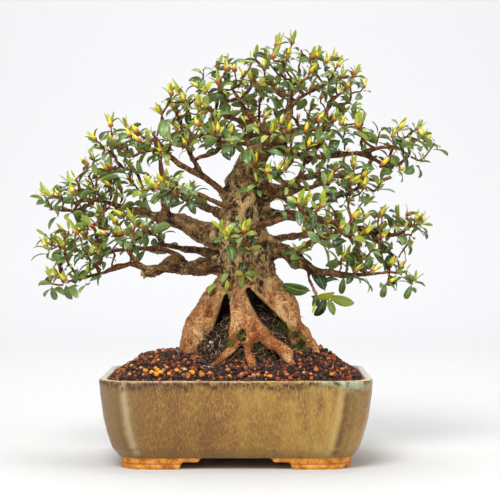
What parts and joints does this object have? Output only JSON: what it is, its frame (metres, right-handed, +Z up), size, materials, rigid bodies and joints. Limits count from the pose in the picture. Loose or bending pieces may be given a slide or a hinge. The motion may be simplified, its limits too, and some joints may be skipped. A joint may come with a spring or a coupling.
{
  "type": "bonsai tree in a pot",
  "caption": "Azalea bonsai with flared surface roots and layered leafy branches, in a brown-gold glazed rectangular pot on four clay feet",
  "frame": {"origin": "middle of the whole object's footprint box, on the surface that the pot stands on; the pot is centred on it", "axes": "+Z up; +X to the right along the pot's long side; -Y towards the viewer, the front of the tree; the feet rest on the plane Z = 0"},
  "size_m": [0.4081, 0.2711, 0.4171],
  "materials": {
    "pot_glaze": "brown-gold ash glaze over orange stoneware, feet left raw",
    "plastic_mesh": "moulded plastic mesh",
    "clip_wire": "dull soft wire",
    "tie_wire": "dull grey soft wire",
    "old_soil": "dark fibrous soil with rootlets and moss",
    "grit": "loose baked clay and lava granules",
    "bark": "rough scaly bark, smoother tan roots",
    "limb_bark": "rough bark, reddish brown on young wood",
    "leaves": "small satin green leaves with yellow-green buds"
  },
  "bodies": {
    "root": {"pot": "pot_glaze", "drainage_mesh_left": "plastic_mesh", "drainage_mesh_right": "plastic_mesh", "mesh_clip_left": "clip_wire", "mesh_clip_right": "clip_wire", "anchor_wire": "tie_wire", "root_ball": "old_soil", "grit_soil": "grit", "trunk": "bark", "lower_left_limb": "limb_bark", "left_arch_limb": "limb_bark", "upper_left_limb": "limb_bark", "slim_left_limb": "limb_bark", "lower_right_limb": "limb_bark", "middle_right_limb": "limb_bark", "cut_stub": "limb_bark", "right_arch_limb": "limb_bark", "long_right_limb": "limb_bark", "upper_right_limb": "limb_bark", "upper_left_high_limb": "limb_bark", "crown_right_limb": "limb_bark", "back_left_limb": "limb_bark", "back_right_limb": "limb_bark", "back_top_limb": "limb_bark", "back_low_limb": "limb_bark", "back_low_left_limb": "limb_bark", "front_limb": "limb_bark", "foliage_crown_top": "leaves", "foliage_crown_left": "leaves", "foliage_crown_right": "leaves", "foliage_crown_back": "leaves", "foliage_upper_left": "leaves", "foliage_upper_left_edge": "leaves", "foliage_middle_left": "leaves", "foliage_far_left": "leaves", "foliage_left_inner": "leaves", "foliage_lower_left_tip": "leaves", "foliage_lower_left_hem": "leaves", "foliage_lower_left_inner": "leaves", "foliage_front_left": "leaves", "foliage_front_centre": "leaves", "foliage_heart_front": "leaves", "foliage_heart_high": "leaves", "foliage_upper_right": "leaves", "foliage_upper_right_edge": "leaves", "foliage_middle_right": "leaves", "foliage_far_right": "leaves", "foliage_lower_right": "leaves", "foliage_lower_right_edge": "leaves", "foliage_lower_right_tip": "leaves", "foliage_lower_right_hem": "leaves", "foliage_hanging_rosette": "leaves", "foliage_front_right": "leaves", "foliage_back_left": "leaves", "foliage_back_right": "leaves", "foliage_back_top": "leaves", "foliage_back_upper_left": "leaves", "foliage_back_upper_right": "leaves", "foliage_back_low_right": "leaves", "foliage_back_low_left": "leaves"}
  },
  "joints": []
}
